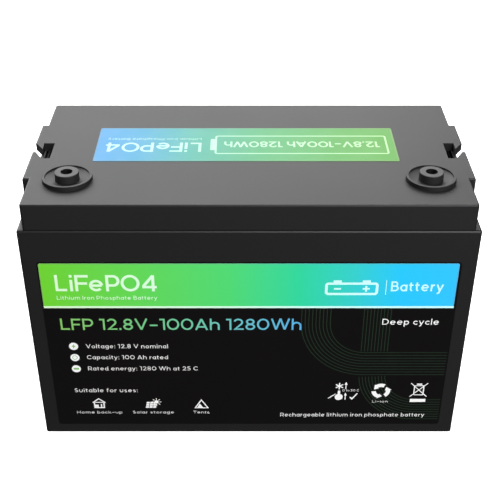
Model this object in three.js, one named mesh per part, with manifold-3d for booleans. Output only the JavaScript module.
// A sealed 12.8 V 100 Ah lithium iron phosphate deep cycle battery.
// Units are millimetres. X runs along the case, the front label faces -Y, Z is up.
// The origin is the middle of the case's underside.

import * as THREE from 'three';
import { mergeVertices } from 'three/addons/utils/BufferGeometryUtils.js';
import Module from 'manifold-3d';

const wasm = await Module();
wasm.setup();

// ---------------------------------------------------------------- driving dimensions

const GAP = 0.3; // clearance between pieces that are cut to fit each other
const OVERLAP = 1; // how far a shape reaches past a surface that it is joined to or cuts through

const CASE = {
  length: 330, width: 171, height: 190.3,
  wall: 4, floor: 3.5, corner: 1, innerCorner: 2, foot: 2.5, rimEdge: 0.8,
  rimDepth: 8, rimThickness: 7.5, ribWidth: 4, ribCount: 4, ribPitch: 40,
};

const LID = {
  length: 321.7, width: 169.6, top: 210.5,
  wall: 3, plate: 3, corner: 1.2, innerCorner: 1, edge: 0.8, seamEdge: 0.3,
  tongueDepth: 5, tongueWall: 2.2, tongueCorner: 1.7,
};

const SEAL = { width: 1.2, height: 1.6, corner: 1.8, innerCorner: 0.6 };

// A lug stands out at each end of the lid, with a strap slot through its top plate into a side niche.
// The slot's places are [from the case's end, to the rear].
const LUG = {
  halfWidth: 45.6, plate: 6.4, nicheFloor: 195, nicheHalfWidth: 41, nicheDepth: 15.1, innerWall: 2.5,
  ribHeight: 1.2, ribWidth: 1.2, ribStart: 7.2, ribPitch: 3.4, ribCount: 2,
  lipNose: [2.6, -2.4], mouthBack: 13.6, hookTip: [7.2, 2.4],
  pocketBackOuter: [6.9, 12.4], pocketBackInner: [15.1, 12.4],
  pocketFrontInner: [15.1, -13.2], pocketFrontOuter: [8.9, -13.2],
};

const TERMINAL = {
  x: 132, y: -47.3,
  ringRadius: 18.5, ringEdge: 0.4, ringLip: 16.2, lipDraft: 0.1,
  ringTop: 213.8, dishRim: 212.9, dishCentre: 210.7,
  collarRadius: 9.3, bossRadius: 9, bossEdge: 0.5, bossTop: 217,
  boreRadius: 4.2, boreEdge: 0.4, boreDepth: 14, borePoint: 2, shankRadius: 7, shankEdge: 1, shankBottom: 181,
  seatZ: 208.2, underBossRadius: 14, underBossZ: 200, oRing: 0.8,
  washerRadius: 12.5, washer: 1.6, nutAcross: 22, clampNut: 7, lugNut: 6,
};

const FRONT_LABEL = { width: 306.9, bottom: 9, top: 163.8, corner: 2, thickness: 0.3 };
const TOP_LABEL = { left: -117.4, right: 113.2, front: -17.3, back: 40, corner: 1.5, thickness: 0.3 };

const CELL = {
  count: 4, thickness: 50, width: 160, height: 118, corner: 3,
  postY: 61, postRadius: 8, postHeight: 3, studRadius: 3, studHeight: 14.5, ventRadius: 9, ventHeight: 0.5,
};
const SEPARATOR = { thickness: 1, width: 158, height: 114 };
const BASE_PAD = { thickness: 4, margin: 2 };
const END_PLATE = { thickness: 5, width: 158, height: 116 };
const STRAP = { thickness: 0.8, height: 12, corner: 0.8, levels: { lower: 27, upper: 77 } };
const BUSBAR = { thickness: 2, width: 18, corner: 4, overhang: 9 };
const CELL_NUT = { across: 10, height: 5 };

const FOAM_BLOCK = { gap: 1, height: 120, sideGap: 4 };
const BOARD_REST = { length: 196, width: 18, y: 30, top: 142 };
const BOARD = { length: 204, width: 104, thickness: 2 };
const BMS = {
  length: 140, width: 76, plate: 3, spacer: 6, spacerWidth: 8, spacerInset: 2, pcb: 1.6,
  bankLength: 100, bankWidth: 22,
  socket: [34, 14, 7], socketInset: [6, 2], block: [16, 16, 10], blockX: 56, blockY: 22,
};

// A lead's reach is how strongly its ends hold their direction.
const CABLE = {
  radius: 4.5, blockRise: 0.5, reach: { cellToLeftPost: 50, cellToBms: 45, bmsToRightPost: 30 },
};
const RING_LUG = {
  thickness: 2, cellRing: 8.5, postRing: 11.5, neck: 4, tongueWidth: 8, barrelRadius: 4.5, barrelLength: 13,
};
const HARNESS = { radius: 1.1, reach: 70, plug: [30, 14, 8], besideNut: 7.3 };
const PROBE = { radius: 2.2, length: 16, y: 14, leadRadius: 0.9, reach: 120, returnReach: 60 };

const FACETS = {
  corner: 2, edge: 3, hole: 4, tube: 8, stud: 12, small: 16, bore: 24, post: 32, ring: 48,
  wire: 6, wireSteps: 12, cable: 8, cableSteps: 20,
};

// ---------------------------------------------------------------- places worked out from them

const caseHalf = { x: CASE.length / 2, y: CASE.width / 2 };
const lidHalf = { x: LID.length / 2, y: LID.width / 2 };
const cavityHalf = { x: caseHalf.x - CASE.wall, y: caseHalf.y - CASE.wall };
const mouthHalf = { x: caseHalf.x - CASE.rimThickness, y: cavityHalf.y };

const sealHalf = {
  x: lidHalf.x - LID.wall / 2 + SEAL.width / 2,
  y: lidHalf.y - LID.wall / 2 + SEAL.width / 2,
};

const cellPitch = CELL.thickness + SEPARATOR.thickness;
const cellBottom = CASE.floor + BASE_PAD.thickness;
const cellTop = cellBottom + CELL.height;
const postTop = cellTop + CELL.postHeight;
const stackHalf = (CELL.count * cellPitch - SEPARATOR.thickness) / 2;
const packHalf = stackHalf + END_PLATE.thickness;
const cellX = (index) => (index - (CELL.count - 1) / 2) * cellPitch;

const boardTop = BOARD_REST.top + BOARD.thickness;
const plateTop = boardTop + BMS.plate;
const pcbBottom = plateTop + BMS.spacer;
const pcbTop = pcbBottom + BMS.pcb;

const washerZ = TERMINAL.underBossZ - TERMINAL.washer;
const clampNutZ = washerZ - TERMINAL.clampNut;
const terminalLugZ = clampNutZ - RING_LUG.thickness;
const lugNutZ = terminalLugZ - TERMINAL.lugNut;

// ---------------------------------------------------------------- finishes

const finish = (color, roughness, metalness = 0) =>
  new THREE.MeshStandardMaterial({ color, roughness, metalness });

const MATERIAL = {
  casePlastic: finish(0x232325, 0.55),
  lidPlastic: finish(0x262628, 0.5),
  frontLabel: finish(0x0e1012, 0.35),
  topLabel: finish(0x4fb6c8, 0.35),
  blackMetal: finish(0x2a2a2c, 0.4, 0.8),
  steel: finish(0xb9bcc0, 0.35, 0.9),
  aluminium: finish(0xc8cacd, 0.4, 0.9),
  cellSleeve: finish(0x1f4f8f, 0.45),
  foam: finish(0x3a3a3c, 0.95),
  greyFoam: finish(0x8a8d90, 0.95),
  rubber: finish(0x151515, 0.8),
  epoxyBoard: finish(0x9fae5a, 0.6),
  circuitBoard: finish(0x1c5b35, 0.45),
  blackPart: finish(0x18181a, 0.5),
  whitePlastic: finish(0xe6e4dc, 0.5),
  redCable: finish(0xb3201c, 0.5),
  blackCable: finish(0x1b1b1d, 0.5),
  tinnedCopper: finish(0xc2bfb6, 0.35, 0.9),
};

// ---------------------------------------------------------------- shape helpers

// A geometry as a manifold solid.
function solid(geometry) {
  const plain = geometry.index ? geometry.toNonIndexed() : geometry.clone();
  plain.deleteAttribute('normal');
  plain.deleteAttribute('uv');
  const merged = mergeVertices(plain, 1e-4);
  return new wasm.Manifold(new wasm.Mesh({
    numProp: 3,
    vertProperties: new Float32Array(merged.attributes.position.array),
    triVerts: new Uint32Array(merged.index.array),
  }));
}

// A manifold solid as a geometry.
function geometryOf(body) {
  const mesh = body.getMesh();
  const geometry = new THREE.BufferGeometry();
  geometry.setAttribute('position', new THREE.BufferAttribute(new Float32Array(mesh.vertProperties), 3));
  geometry.setIndex(new THREE.BufferAttribute(new Uint32Array(mesh.triVerts), 1));
  geometry.computeVertexNormals();
  return geometry;
}

const join = (first, ...others) => others.reduce((sum, each) => sum.add(each), first);
const cut = (first, ...others) => others.reduce((sum, each) => sum.subtract(each), first);

function boxGeometry([x0, x1], [y0, y1], [z0, z1]) {
  return new THREE.BoxGeometry(x1 - x0, y1 - y0, z1 - z0)
    .translate((x0 + x1) / 2, (y0 + y1) / 2, (z0 + z1) / 2);
}

// A box centred on x and y, standing on z.
function blockGeometry(x, y, z, [length, width, height]) {
  return boxGeometry([x - length / 2, x + length / 2], [y - width / 2, y + width / 2], [z, z + height]);
}

function roundedRectangle(halfX, halfY, radius) {
  const shape = new THREE.Shape();
  shape.moveTo(halfX - radius, -halfY);
  shape.absarc(halfX - radius, radius - halfY, radius, -Math.PI / 2, 0);
  shape.absarc(halfX - radius, halfY - radius, radius, 0, Math.PI / 2);
  shape.absarc(radius - halfX, halfY - radius, radius, Math.PI / 2, Math.PI);
  shape.absarc(radius - halfX, radius - halfY, radius, Math.PI, Math.PI * 1.5);
  shape.closePath();
  return shape;
}

function polygon(points) {
  return new THREE.Shape(points.map(([x, y]) => new THREE.Vector2(x, y)));
}

function extrude(shape, z0, z1, curveSegments = FACETS.corner) {
  return new THREE.ExtrudeGeometry(shape, { depth: z1 - z0, bevelEnabled: false, curveSegments })
    .translate(0, 0, z0);
}

const prism = (halfX, halfY, radius, z0, z1) => extrude(roundedRectangle(halfX, halfY, radius), z0, z1);

// A prism whose lowest and highest edges are rounded.
function softPrism(halfX, halfY, radius, z0, z1, lowEdge, highEdge) {
  const upright = (reach, otherReach) => {
    const shape = new THREE.Shape();
    shape.moveTo(reach - lowEdge, z0);
    shape.absarc(reach - lowEdge, z0 + lowEdge, lowEdge, -Math.PI / 2, 0);
    shape.absarc(reach - highEdge, z1 - highEdge, highEdge, 0, Math.PI / 2);
    shape.absarc(highEdge - reach, z1 - highEdge, highEdge, Math.PI / 2, Math.PI);
    shape.absarc(lowEdge - reach, z0 + lowEdge, lowEdge, Math.PI, Math.PI * 1.5);
    shape.closePath();
    return extrude(shape, -otherReach - OVERLAP, otherReach + OVERLAP, FACETS.edge).rotateX(Math.PI / 2);
  };
  return solid(prism(halfX, halfY, radius, z0 - OVERLAP, z1 + OVERLAP))
    .intersect(solid(upright(halfX, halfY)))
    .intersect(solid(upright(halfY, halfX).rotateZ(Math.PI / 2)));
}

function cylinder(x, y, z0, z1, radius, sides = FACETS.small) {
  return new THREE.CylinderGeometry(radius, radius, z1 - z0, sides)
    .rotateX(Math.PI / 2)
    .translate(x, y, (z0 + z1) / 2);
}

// A turned piece: the profile is [radius, height] pairs, going round the section once.
function turned(x, y, profile, sides = FACETS.ring) {
  const points = profile.map(([r, z]) => new THREE.Vector2(r, z));
  return new THREE.LatheGeometry(points, sides).rotateX(Math.PI / 2).translate(x, y, 0);
}

// A ring with a rectangular section.
function washerGeometry(x, y, z0, z1, inner, outer, sides = FACETS.bore) {
  return turned(x, y, [[inner, z0], [outer, z0], [outer, z1], [inner, z1], [inner, z0]], sides);
}

// A hexagon nut, measured across its flats.
function nutGeometry(x, y, z0, height, across, holeRadius) {
  const outline = new THREE.Shape();
  const corner = across / Math.sqrt(3);
  for (let side = 0; side < 6; side += 1) {
    const angle = side * Math.PI / 3;
    outline[side ? 'lineTo' : 'moveTo'](corner * Math.cos(angle), corner * Math.sin(angle));
  }
  outline.closePath();
  outline.holes.push(new THREE.Path().absarc(0, 0, holeRadius, 0, 2 * Math.PI, true));
  return extrude(outline, z0, z0 + height, FACETS.small / 2).translate(x, y, 0);
}

// A rectangular band between two rounded rectangles.
function bandGeometry(outerX, outerY, outerRadius, thickness, innerRadius, z0, z1) {
  const outline = roundedRectangle(outerX, outerY, outerRadius);
  const hole = roundedRectangle(outerX - thickness, outerY - thickness, innerRadius);
  outline.holes.push(new THREE.Path(hole.getPoints(FACETS.corner)));
  return extrude(outline, z0, z1);
}

// A round tube along a curve. Each end is a point, the way the curve leaves it, and how strongly.
function leadGeometry(start, end, radius, sides, steps) {
  const path = new THREE.CubicBezierCurve3(
    start.point, start.point.clone().addScaledVector(start.way, start.reach),
    end.point.clone().addScaledVector(end.way, end.reach), end.point,
  );
  const section = new THREE.Shape();
  section.absarc(0, 0, radius, 0, 2 * Math.PI);
  return new THREE.ExtrudeGeometry(section, { steps, extrudePath: path, curveSegments: sides / 2 });
}

// ---------------------------------------------------------------- the assembly

const battery = new THREE.Group();
battery.name = 'deep_cycle_battery';

function add(name, shape, material) {
  const geometry = shape.isBufferGeometry ? shape : geometryOf(shape);
  const mesh = new THREE.Mesh(geometry, material);
  mesh.name = name;
  battery.add(mesh);
  return mesh;
}

// ---------------------------------------------------------------- case tub

function caseTub() {
  let tub = softPrism(caseHalf.x, caseHalf.y, CASE.corner, 0, CASE.height, CASE.foot, CASE.rimEdge);
  const rimBottom = CASE.height - CASE.rimDepth;
  tub = cut(
    tub,
    solid(prism(cavityHalf.x, cavityHalf.y, CASE.innerCorner, CASE.floor, rimBottom)),
    solid(prism(mouthHalf.x, mouthHalf.y, CASE.innerCorner, rimBottom - OVERLAP, CASE.height + OVERLAP)),
  );

  // Ribs inside both end walls carry the thicker rim.
  for (const side of [-1, 1]) {
    for (let rib = 0; rib < CASE.ribCount; rib += 1) {
      const y = (rib - (CASE.ribCount - 1) / 2) * CASE.ribPitch;
      const reach = [side * (cavityHalf.x + OVERLAP), side * mouthHalf.x].sort((a, b) => a - b);
      tub = join(tub, solid(boxGeometry(
        reach, [y - CASE.ribWidth / 2, y + CASE.ribWidth / 2], [CASE.floor - OVERLAP, rimBottom + OVERLAP],
      )));
    }
  }

  // The groove in the rim that holds the seal.
  const grooveWidth = SEAL.width + 2 * GAP;
  tub = cut(tub, solid(bandGeometry(
    sealHalf.x + GAP, sealHalf.y + GAP, SEAL.corner + GAP, grooveWidth, SEAL.innerCorner,
    CASE.height - SEAL.height, CASE.height + OVERLAP,
  )));

  // The shallow panel that the front label lies in.
  tub = cut(tub, solid(boxGeometry(
    [-FRONT_LABEL.width / 2 - GAP, FRONT_LABEL.width / 2 + GAP],
    [-caseHalf.y - OVERLAP, -caseHalf.y + FRONT_LABEL.thickness],
    [FRONT_LABEL.bottom - GAP, FRONT_LABEL.top + GAP],
  )));
  return tub;
}

add('case_tub', caseTub(), MATERIAL.casePlastic);
add('lid_seal', bandGeometry(
  sealHalf.x, sealHalf.y, SEAL.corner, SEAL.width, SEAL.innerCorner, CASE.height - SEAL.height, CASE.height,
), MATERIAL.rubber);

// ---------------------------------------------------------------- lid

// The strap slot of the -X end in plan: a slanted mouth that opens into a pocket behind a hooked tip.
function slotOutline() {
  const end = -caseHalf.x;
  const place = ([fromEnd, y]) => [end + fromEnd, y];
  const slope = (LUG.mouthBack - LUG.hookTip[1]) / LUG.hookTip[0];
  return polygon([
    place([-OVERLAP, LUG.mouthBack + slope * OVERLAP]),
    place(LUG.hookTip),
    place(LUG.pocketBackOuter),
    place(LUG.pocketBackInner),
    place(LUG.pocketFrontInner),
    place(LUG.pocketFrontOuter),
    place(LUG.lipNose),
    place([-OVERLAP, LUG.lipNose[1]]),
  ]);
}

// Everything solid that the lug adds to the -X end.
function lugBody() {
  const outer = -caseHalf.x;
  const inner = outer + LUG.nicheDepth + LUG.innerWall;
  return solid(boxGeometry([outer, inner], [-LUG.halfWidth, LUG.halfWidth], [CASE.height, LID.top]));
}

// Everything that the lug's niche and slot take away from the -X end.
function lugHollow() {
  const outer = -caseHalf.x;
  const niche = solid(boxGeometry(
    [outer - OVERLAP, outer + LUG.nicheDepth],
    [-LUG.nicheHalfWidth, LUG.nicheHalfWidth],
    [LUG.nicheFloor, LID.top - LUG.plate],
  ));
  let hollow = join(niche, solid(extrude(slotOutline(), LID.top - LUG.plate - OVERLAP, LID.top + OVERLAP)));
  for (let rib = 0; rib < LUG.ribCount; rib += 1) {
    const x = outer + LUG.ribStart + rib * LUG.ribPitch;
    hollow = cut(hollow, solid(boxGeometry(
      [x, x + LUG.ribWidth],
      [-LUG.nicheHalfWidth - OVERLAP, LUG.nicheHalfWidth + OVERLAP],
      [LUG.nicheFloor - OVERLAP, LUG.nicheFloor + LUG.ribHeight],
    )));
  }
  return hollow;
}

function terminalRing(x) {
  const t = TERMINAL;
  const joint = LID.top - LID.plate + OVERLAP;
  return turned(x, t.y, [
    [0, t.underBossZ], [t.underBossRadius, t.underBossZ], [t.underBossRadius, joint],
    [t.ringRadius, joint], [t.ringRadius, t.ringTop - t.ringEdge], [t.ringRadius - t.ringEdge, t.ringTop],
    [t.ringLip, t.ringTop], [t.ringLip - t.lipDraft, t.dishRim],
    [t.bossRadius - OVERLAP, t.dishCentre], [0, t.dishCentre],
  ]);
}

function terminalHole(x) {
  const t = TERMINAL;
  return join(
    solid(cylinder(x, t.y, t.underBossZ - OVERLAP, t.bossTop, t.shankRadius + GAP, FACETS.bore)),
    solid(cylinder(x, t.y, t.seatZ, t.bossTop, t.collarRadius, FACETS.bore)),
  );
}

function lidShell() {
  let shell = softPrism(lidHalf.x, lidHalf.y, LID.corner, CASE.height, LID.top, LID.seamEdge, LID.edge);
  const inside = solid(prism(
    lidHalf.x - LID.wall, lidHalf.y - LID.wall, LID.innerCorner, CASE.height - OVERLAP, LID.top - LID.plate,
  ));
  shell = cut(shell, inside);

  const tongue = { x: mouthHalf.x - GAP, y: mouthHalf.y - GAP };
  shell = join(shell, solid(bandGeometry(
    tongue.x, tongue.y, LID.tongueCorner, LID.tongueWall, LID.innerCorner,
    CASE.height - LID.tongueDepth, CASE.height + OVERLAP,
  )));

  const lug = lugBody();
  const hollow = lugHollow();
  shell = join(shell, lug, lug.mirror([1, 0, 0]));
  shell = cut(shell, hollow, hollow.mirror([1, 0, 0]));

  for (const side of [-1, 1]) {
    shell = join(shell, solid(terminalRing(side * TERMINAL.x)));
    shell = cut(shell, terminalHole(side * TERMINAL.x));
  }
  return shell;
}

add('lid', lidShell(), MATERIAL.lidPlastic);

// ---------------------------------------------------------------- labels

function frontLabel() {
  const height = FRONT_LABEL.top - FRONT_LABEL.bottom;
  return extrude(
    roundedRectangle(FRONT_LABEL.width / 2, height / 2, FRONT_LABEL.corner), 0, FRONT_LABEL.thickness,
  )
    .rotateX(Math.PI / 2)
    .translate(0, -caseHalf.y + FRONT_LABEL.thickness, FRONT_LABEL.bottom + height / 2);
}

function topLabel() {
  const { left, right, front, back, corner, thickness } = TOP_LABEL;
  return extrude(roundedRectangle((right - left) / 2, (back - front) / 2, corner), 0, thickness)
    .translate((left + right) / 2, (front + back) / 2, LID.top);
}

add('front_label', frontLabel(), MATERIAL.frontLabel);
add('top_label', topLabel(), MATERIAL.topLabel);

// ---------------------------------------------------------------- terminals

function terminalPost(x) {
  const t = TERMINAL;
  const flangeZ = t.seatZ + 2 * t.oRing;
  return turned(x, t.y, [
    [0, t.shankBottom], [t.shankRadius - t.shankEdge, t.shankBottom],
    [t.shankRadius, t.shankBottom + t.shankEdge], [t.shankRadius, flangeZ],
    [t.bossRadius, flangeZ], [t.bossRadius, t.bossTop - t.bossEdge], [t.bossRadius - t.bossEdge, t.bossTop],
    [t.boreRadius + t.boreEdge, t.bossTop], [t.boreRadius, t.bossTop - t.boreEdge],
    [t.boreRadius, t.bossTop - t.boreDepth], [0, t.bossTop - t.boreDepth - t.borePoint],
  ], FACETS.post);
}

function terminalORing(x) {
  const t = TERMINAL;
  return new THREE.TorusGeometry(t.bossRadius - t.oRing, t.oRing, FACETS.tube, FACETS.small)
    .translate(x, t.y, t.seatZ + t.oRing);
}

for (const [side, name] of [[-1, 'left'], [1, 'right']]) {
  const t = TERMINAL;
  const x = side * t.x;
  const hole = t.shankRadius + GAP;
  add(`terminal_post_${name}`, terminalPost(x), MATERIAL.blackMetal);
  add(`terminal_o_ring_${name}`, terminalORing(x), MATERIAL.rubber);
  add(`terminal_washer_${name}`, washerGeometry(
    x, t.y, washerZ, t.underBossZ, hole, t.washerRadius,
  ), MATERIAL.steel);
  add(`clamp_nut_${name}`, nutGeometry(x, t.y, clampNutZ, t.clampNut, t.nutAcross, hole), MATERIAL.steel);
  add(`lug_nut_${name}`, nutGeometry(x, t.y, lugNutZ, t.lugNut, t.nutAcross, hole), MATERIAL.steel);
}

// ---------------------------------------------------------------- cell pack

function cellSolid(x) {
  const half = CELL.thickness / 2;
  let body = solid(
    prism(half, CELL.width / 2, CELL.corner, cellBottom, cellTop).translate(x, 0, 0),
  );
  body = join(body, solid(cylinder(x, 0, cellTop - OVERLAP, cellTop + CELL.ventHeight, CELL.ventRadius)));
  for (const side of [-1, 1]) {
    const y = side * CELL.postY;
    body = join(
      body,
      solid(cylinder(x, y, cellTop - OVERLAP, postTop, CELL.postRadius)),
      solid(cylinder(x, y, postTop - OVERLAP, cellTop + CELL.studHeight, CELL.studRadius, FACETS.stud)),
    );
  }
  return body;
}

add('base_pad', blockGeometry(0, 0, CASE.floor, [
  2 * packHalf, CELL.width - BASE_PAD.margin, BASE_PAD.thickness,
]), MATERIAL.foam);

for (let index = 0; index < CELL.count; index += 1) {
  add(`cell_${index + 1}`, cellSolid(cellX(index)), MATERIAL.cellSleeve);
  if (index > 0) {
    const x = (cellX(index - 1) + cellX(index)) / 2;
    add(`cell_separator_${index}`, blockGeometry(x, 0, cellBottom, [
      SEPARATOR.thickness, SEPARATOR.width, SEPARATOR.height,
    ]), MATERIAL.epoxyBoard);
  }
}

for (const [side, name] of [[-1, 'left'], [1, 'right']]) {
  add(`end_plate_${name}`, blockGeometry(side * (stackHalf + END_PLATE.thickness / 2), 0, cellBottom, [
    END_PLATE.thickness, END_PLATE.width, END_PLATE.height,
  ]), MATERIAL.aluminium);
}

for (const [name, level] of Object.entries(STRAP.levels)) {
  const z = cellBottom + level;
  add(`pack_strap_${name}`, bandGeometry(
    packHalf + STRAP.thickness, CELL.width / 2 + STRAP.thickness, STRAP.corner + STRAP.thickness,
    STRAP.thickness, STRAP.corner, z, z + STRAP.height,
  ), MATERIAL.steel);
}

// Cells alternate, so each busbar joins neighbouring posts on the rear and front sides by turns.
function busbar(index) {
  const y = (index % 2 ? -1 : 1) * CELL.postY;
  const [from, to] = [cellX(index), cellX(index + 1)];
  const middle = (from + to) / 2;
  const halfLength = (to - from) / 2 + BUSBAR.overhang;
  const outline = roundedRectangle(halfLength, BUSBAR.width / 2, BUSBAR.corner);
  for (const x of [from - middle, to - middle]) {
    outline.holes.push(new THREE.Path().absarc(x, 0, CELL.studRadius + GAP, 0, 2 * Math.PI, true));
  }
  return extrude(outline, postTop, postTop + BUSBAR.thickness, FACETS.hole).translate(middle, y, 0);
}

for (let index = 0; index < CELL.count - 1; index += 1) {
  add(`busbar_${index + 1}`, busbar(index), MATERIAL.tinnedCopper);
}

for (let index = 0; index < CELL.count; index += 1) {
  for (const [side, name] of [[-1, 'front'], [1, 'rear']]) {
    add(`cell_nut_${index + 1}_${name}`, nutGeometry(
      cellX(index), side * CELL.postY, postTop + BUSBAR.thickness,
      CELL_NUT.height, CELL_NUT.across, CELL.studRadius + GAP,
    ), MATERIAL.steel);
  }
}

// ---------------------------------------------------------------- foam and the board over the cells

for (const [side, name] of [[-1, 'left'], [1, 'right']]) {
  const inner = packHalf + STRAP.thickness + FOAM_BLOCK.gap;
  const outer = mouthHalf.x - FOAM_BLOCK.gap;
  add(`foam_block_${name}`, blockGeometry(side * (inner + outer) / 2, 0, CASE.floor, [
    outer - inner, 2 * (cavityHalf.y - FOAM_BLOCK.sideGap), FOAM_BLOCK.height,
  ]), MATERIAL.greyFoam);
}

for (const [side, name] of [[-1, 'front'], [1, 'rear']]) {
  add(`board_rest_${name}`, blockGeometry(0, side * BOARD_REST.y, cellTop, [
    BOARD_REST.length, BOARD_REST.width, BOARD_REST.top - cellTop,
  ]), MATERIAL.foam);
}

add('insulating_board', blockGeometry(0, 0, BOARD_REST.top, [
  BOARD.length, BOARD.width, BOARD.thickness,
]), MATERIAL.epoxyBoard);

// ---------------------------------------------------------------- battery management board

add('bms_heat_plate', blockGeometry(0, 0, boardTop, [BMS.length, BMS.width, BMS.plate]), MATERIAL.aluminium);
add('bms_transistor_bank', blockGeometry(0, 0, plateTop, [
  BMS.bankLength, BMS.bankWidth, BMS.spacer,
]), MATERIAL.blackPart);
for (const [side, name] of [[-1, 'left'], [1, 'right']]) {
  const x = side * (BMS.length - BMS.spacerWidth) / 2;
  add(`bms_spacer_${name}`, blockGeometry(x, 0, plateTop, [
    BMS.spacerWidth, BMS.width - 2 * BMS.spacerInset, BMS.spacer,
  ]), MATERIAL.blackPart);
}
add('bms_circuit_board', blockGeometry(0, 0, pcbBottom, [
  BMS.length, BMS.width, BMS.pcb,
]), MATERIAL.circuitBoard);

const socketX = -BMS.length / 2 + BMS.socket[0] / 2 + BMS.socketInset[0];
const socketY = BMS.width / 2 - BMS.socket[1] / 2 - BMS.socketInset[1];
add('bms_sense_socket', blockGeometry(socketX, socketY, pcbTop, BMS.socket), MATERIAL.whitePlastic);
for (const [side, name] of [[-1, 'cell_side'], [1, 'output_side']]) {
  add(`bms_block_${name}`, blockGeometry(
    BMS.blockX, side * BMS.blockY, pcbTop, BMS.block,
  ), MATERIAL.tinnedCopper);
}

// ---------------------------------------------------------------- power cables and their ring lugs

// A crimped lug: a ring round the hole, a tongue, and a barrel that points along the angle.
function ringLug({ x, y, z, angle, holeRadius, ringRadius }) {
  const lug = RING_LUG;
  const barrelStart = ringRadius + lug.neck;
  const barrel = new THREE.CylinderGeometry(
    lug.barrelRadius, lug.barrelRadius, lug.barrelLength, FACETS.stud,
  )
    .rotateZ(Math.PI / 2)
    .translate(barrelStart + lug.barrelLength / 2, 0, lug.barrelRadius);
  const tongue = boxGeometry(
    [0, barrelStart + OVERLAP], [-lug.tongueWidth / 2, lug.tongueWidth / 2], [0, lug.thickness],
  );
  const body = cut(
    join(solid(cylinder(0, 0, 0, lug.thickness, ringRadius)), solid(tongue), solid(barrel)),
    solid(cylinder(0, 0, -OVERLAP, lug.thickness + OVERLAP, holeRadius)),
  );
  return geometryOf(body).rotateZ(angle).translate(x, y, z);
}

// Where a lug's cable starts, and the way it leaves.
function lugMouth({ x, y, z, angle, ringRadius }) {
  const way = new THREE.Vector3(Math.cos(angle), Math.sin(angle), 0);
  const reach = ringRadius + RING_LUG.neck + RING_LUG.barrelLength + GAP;
  const point = new THREE.Vector3(x, y, z + RING_LUG.barrelRadius).addScaledVector(way, reach);
  return { point, way };
}

function powerCable(from, to, reach) {
  return leadGeometry({ ...from, reach }, { ...to, reach }, CABLE.radius, FACETS.cable, FACETS.cableSteps);
}

const cellLug = { ringRadius: RING_LUG.cellRing, holeRadius: CELL.studRadius + GAP };
const postLug = { ringRadius: RING_LUG.postRing, holeRadius: TERMINAL.shankRadius + GAP };
const lastCell = CELL.count - 1;
const LUGS = {
  pack_plus: { ...cellLug, x: cellX(0), y: -CELL.postY, z: postTop, angle: Math.PI },
  pack_minus: { ...cellLug, x: cellX(lastCell), y: -CELL.postY, z: postTop, angle: 0 },
  left_post: { ...postLug, x: -TERMINAL.x, y: TERMINAL.y, z: terminalLugZ, angle: Math.PI / 2 },
  right_post: { ...postLug, x: TERMINAL.x, y: TERMINAL.y, z: terminalLugZ, angle: Math.PI / 2 },
};

for (const [name, lug] of Object.entries(LUGS)) {
  add(`ring_lug_${name}`, ringLug(lug), MATERIAL.tinnedCopper);
}

const blockFace = (side) => ({
  point: new THREE.Vector3(
    BMS.blockX + BMS.block[0] / 2 + GAP, side * BMS.blockY, pcbTop + CABLE.radius + CABLE.blockRise,
  ),
  way: new THREE.Vector3(1, 0, 0),
});

add('cable_cell_to_left_terminal', powerCable(
  lugMouth(LUGS.pack_plus), lugMouth(LUGS.left_post), CABLE.reach.cellToLeftPost,
), MATERIAL.redCable);
add('cable_cell_to_bms', powerCable(
  lugMouth(LUGS.pack_minus), blockFace(-1), CABLE.reach.cellToBms,
), MATERIAL.blackCable);
add('cable_bms_to_right_terminal', powerCable(
  blockFace(1), lugMouth(LUGS.right_post), CABLE.reach.bmsToRightPost,
), MATERIAL.blackCable);

// ---------------------------------------------------------------- cell-sense harness and temperature probe

const towardLeft = new THREE.Vector3(-1, 0, 0);
const upward = new THREE.Vector3(0, 0, 1);

// Five wires leave the plug side by side, and each ends on one joint of the cell series.
function senseHarness() {
  const [plugLength, plugWidth, plugHeight] = HARNESS.plug;
  const plugBottom = pcbTop + BMS.socket[2];
  let body = solid(blockGeometry(socketX, socketY, plugBottom, HARNESS.plug));
  const joints = [
    [cellX(0) + HARNESS.besideNut, -CELL.postY],
    [(cellX(0) + cellX(1)) / 2, CELL.postY],
    [(cellX(1) + cellX(2)) / 2, -CELL.postY],
    [(cellX(2) + cellX(3)) / 2, CELL.postY],
    [cellX(lastCell) - HARNESS.besideNut, -CELL.postY],
  ];
  joints.forEach(([x, y], wire) => {
    const spread = (wire / (joints.length - 1) - 0.5) * (plugWidth - 2 * HARNESS.radius);
    const plugEnd = new THREE.Vector3(
      socketX - plugLength / 2 + OVERLAP, socketY - spread, plugBottom + plugHeight / 2,
    );
    const jointEnd = new THREE.Vector3(x, y, postTop + BUSBAR.thickness + GAP);
    body = join(body, solid(leadGeometry(
      { point: plugEnd, way: towardLeft, reach: HARNESS.reach },
      { point: jointEnd, way: upward, reach: HARNESS.reach },
      HARNESS.radius, FACETS.wire, FACETS.wireSteps,
    )));
  });
  return body;
}

// The probe lies on the cells, and its lead runs out under the board and back to the circuit board's edge.
function temperatureProbe() {
  const z = cellTop + PROBE.radius;
  const bulb = new THREE.CylinderGeometry(PROBE.radius, PROBE.radius, PROBE.length, FACETS.stud)
    .rotateZ(Math.PI / 2)
    .translate(0, PROBE.y, z);
  const bulbEnd = new THREE.Vector3(-PROBE.length / 2 + OVERLAP, PROBE.y, z);
  const boardEnd = new THREE.Vector3(-BMS.length / 2 - GAP, PROBE.y, pcbBottom + BMS.pcb / 2);
  return join(solid(bulb), solid(leadGeometry(
    { point: bulbEnd, way: towardLeft, reach: PROBE.reach },
    { point: boardEnd, way: towardLeft, reach: PROBE.returnReach },
    PROBE.leadRadius, FACETS.wire, FACETS.cableSteps,
  )));
}

add('sense_harness', senseHarness(), MATERIAL.blackPart);
add('temperature_probe', temperatureProbe(), MATERIAL.blackPart);

export default battery;
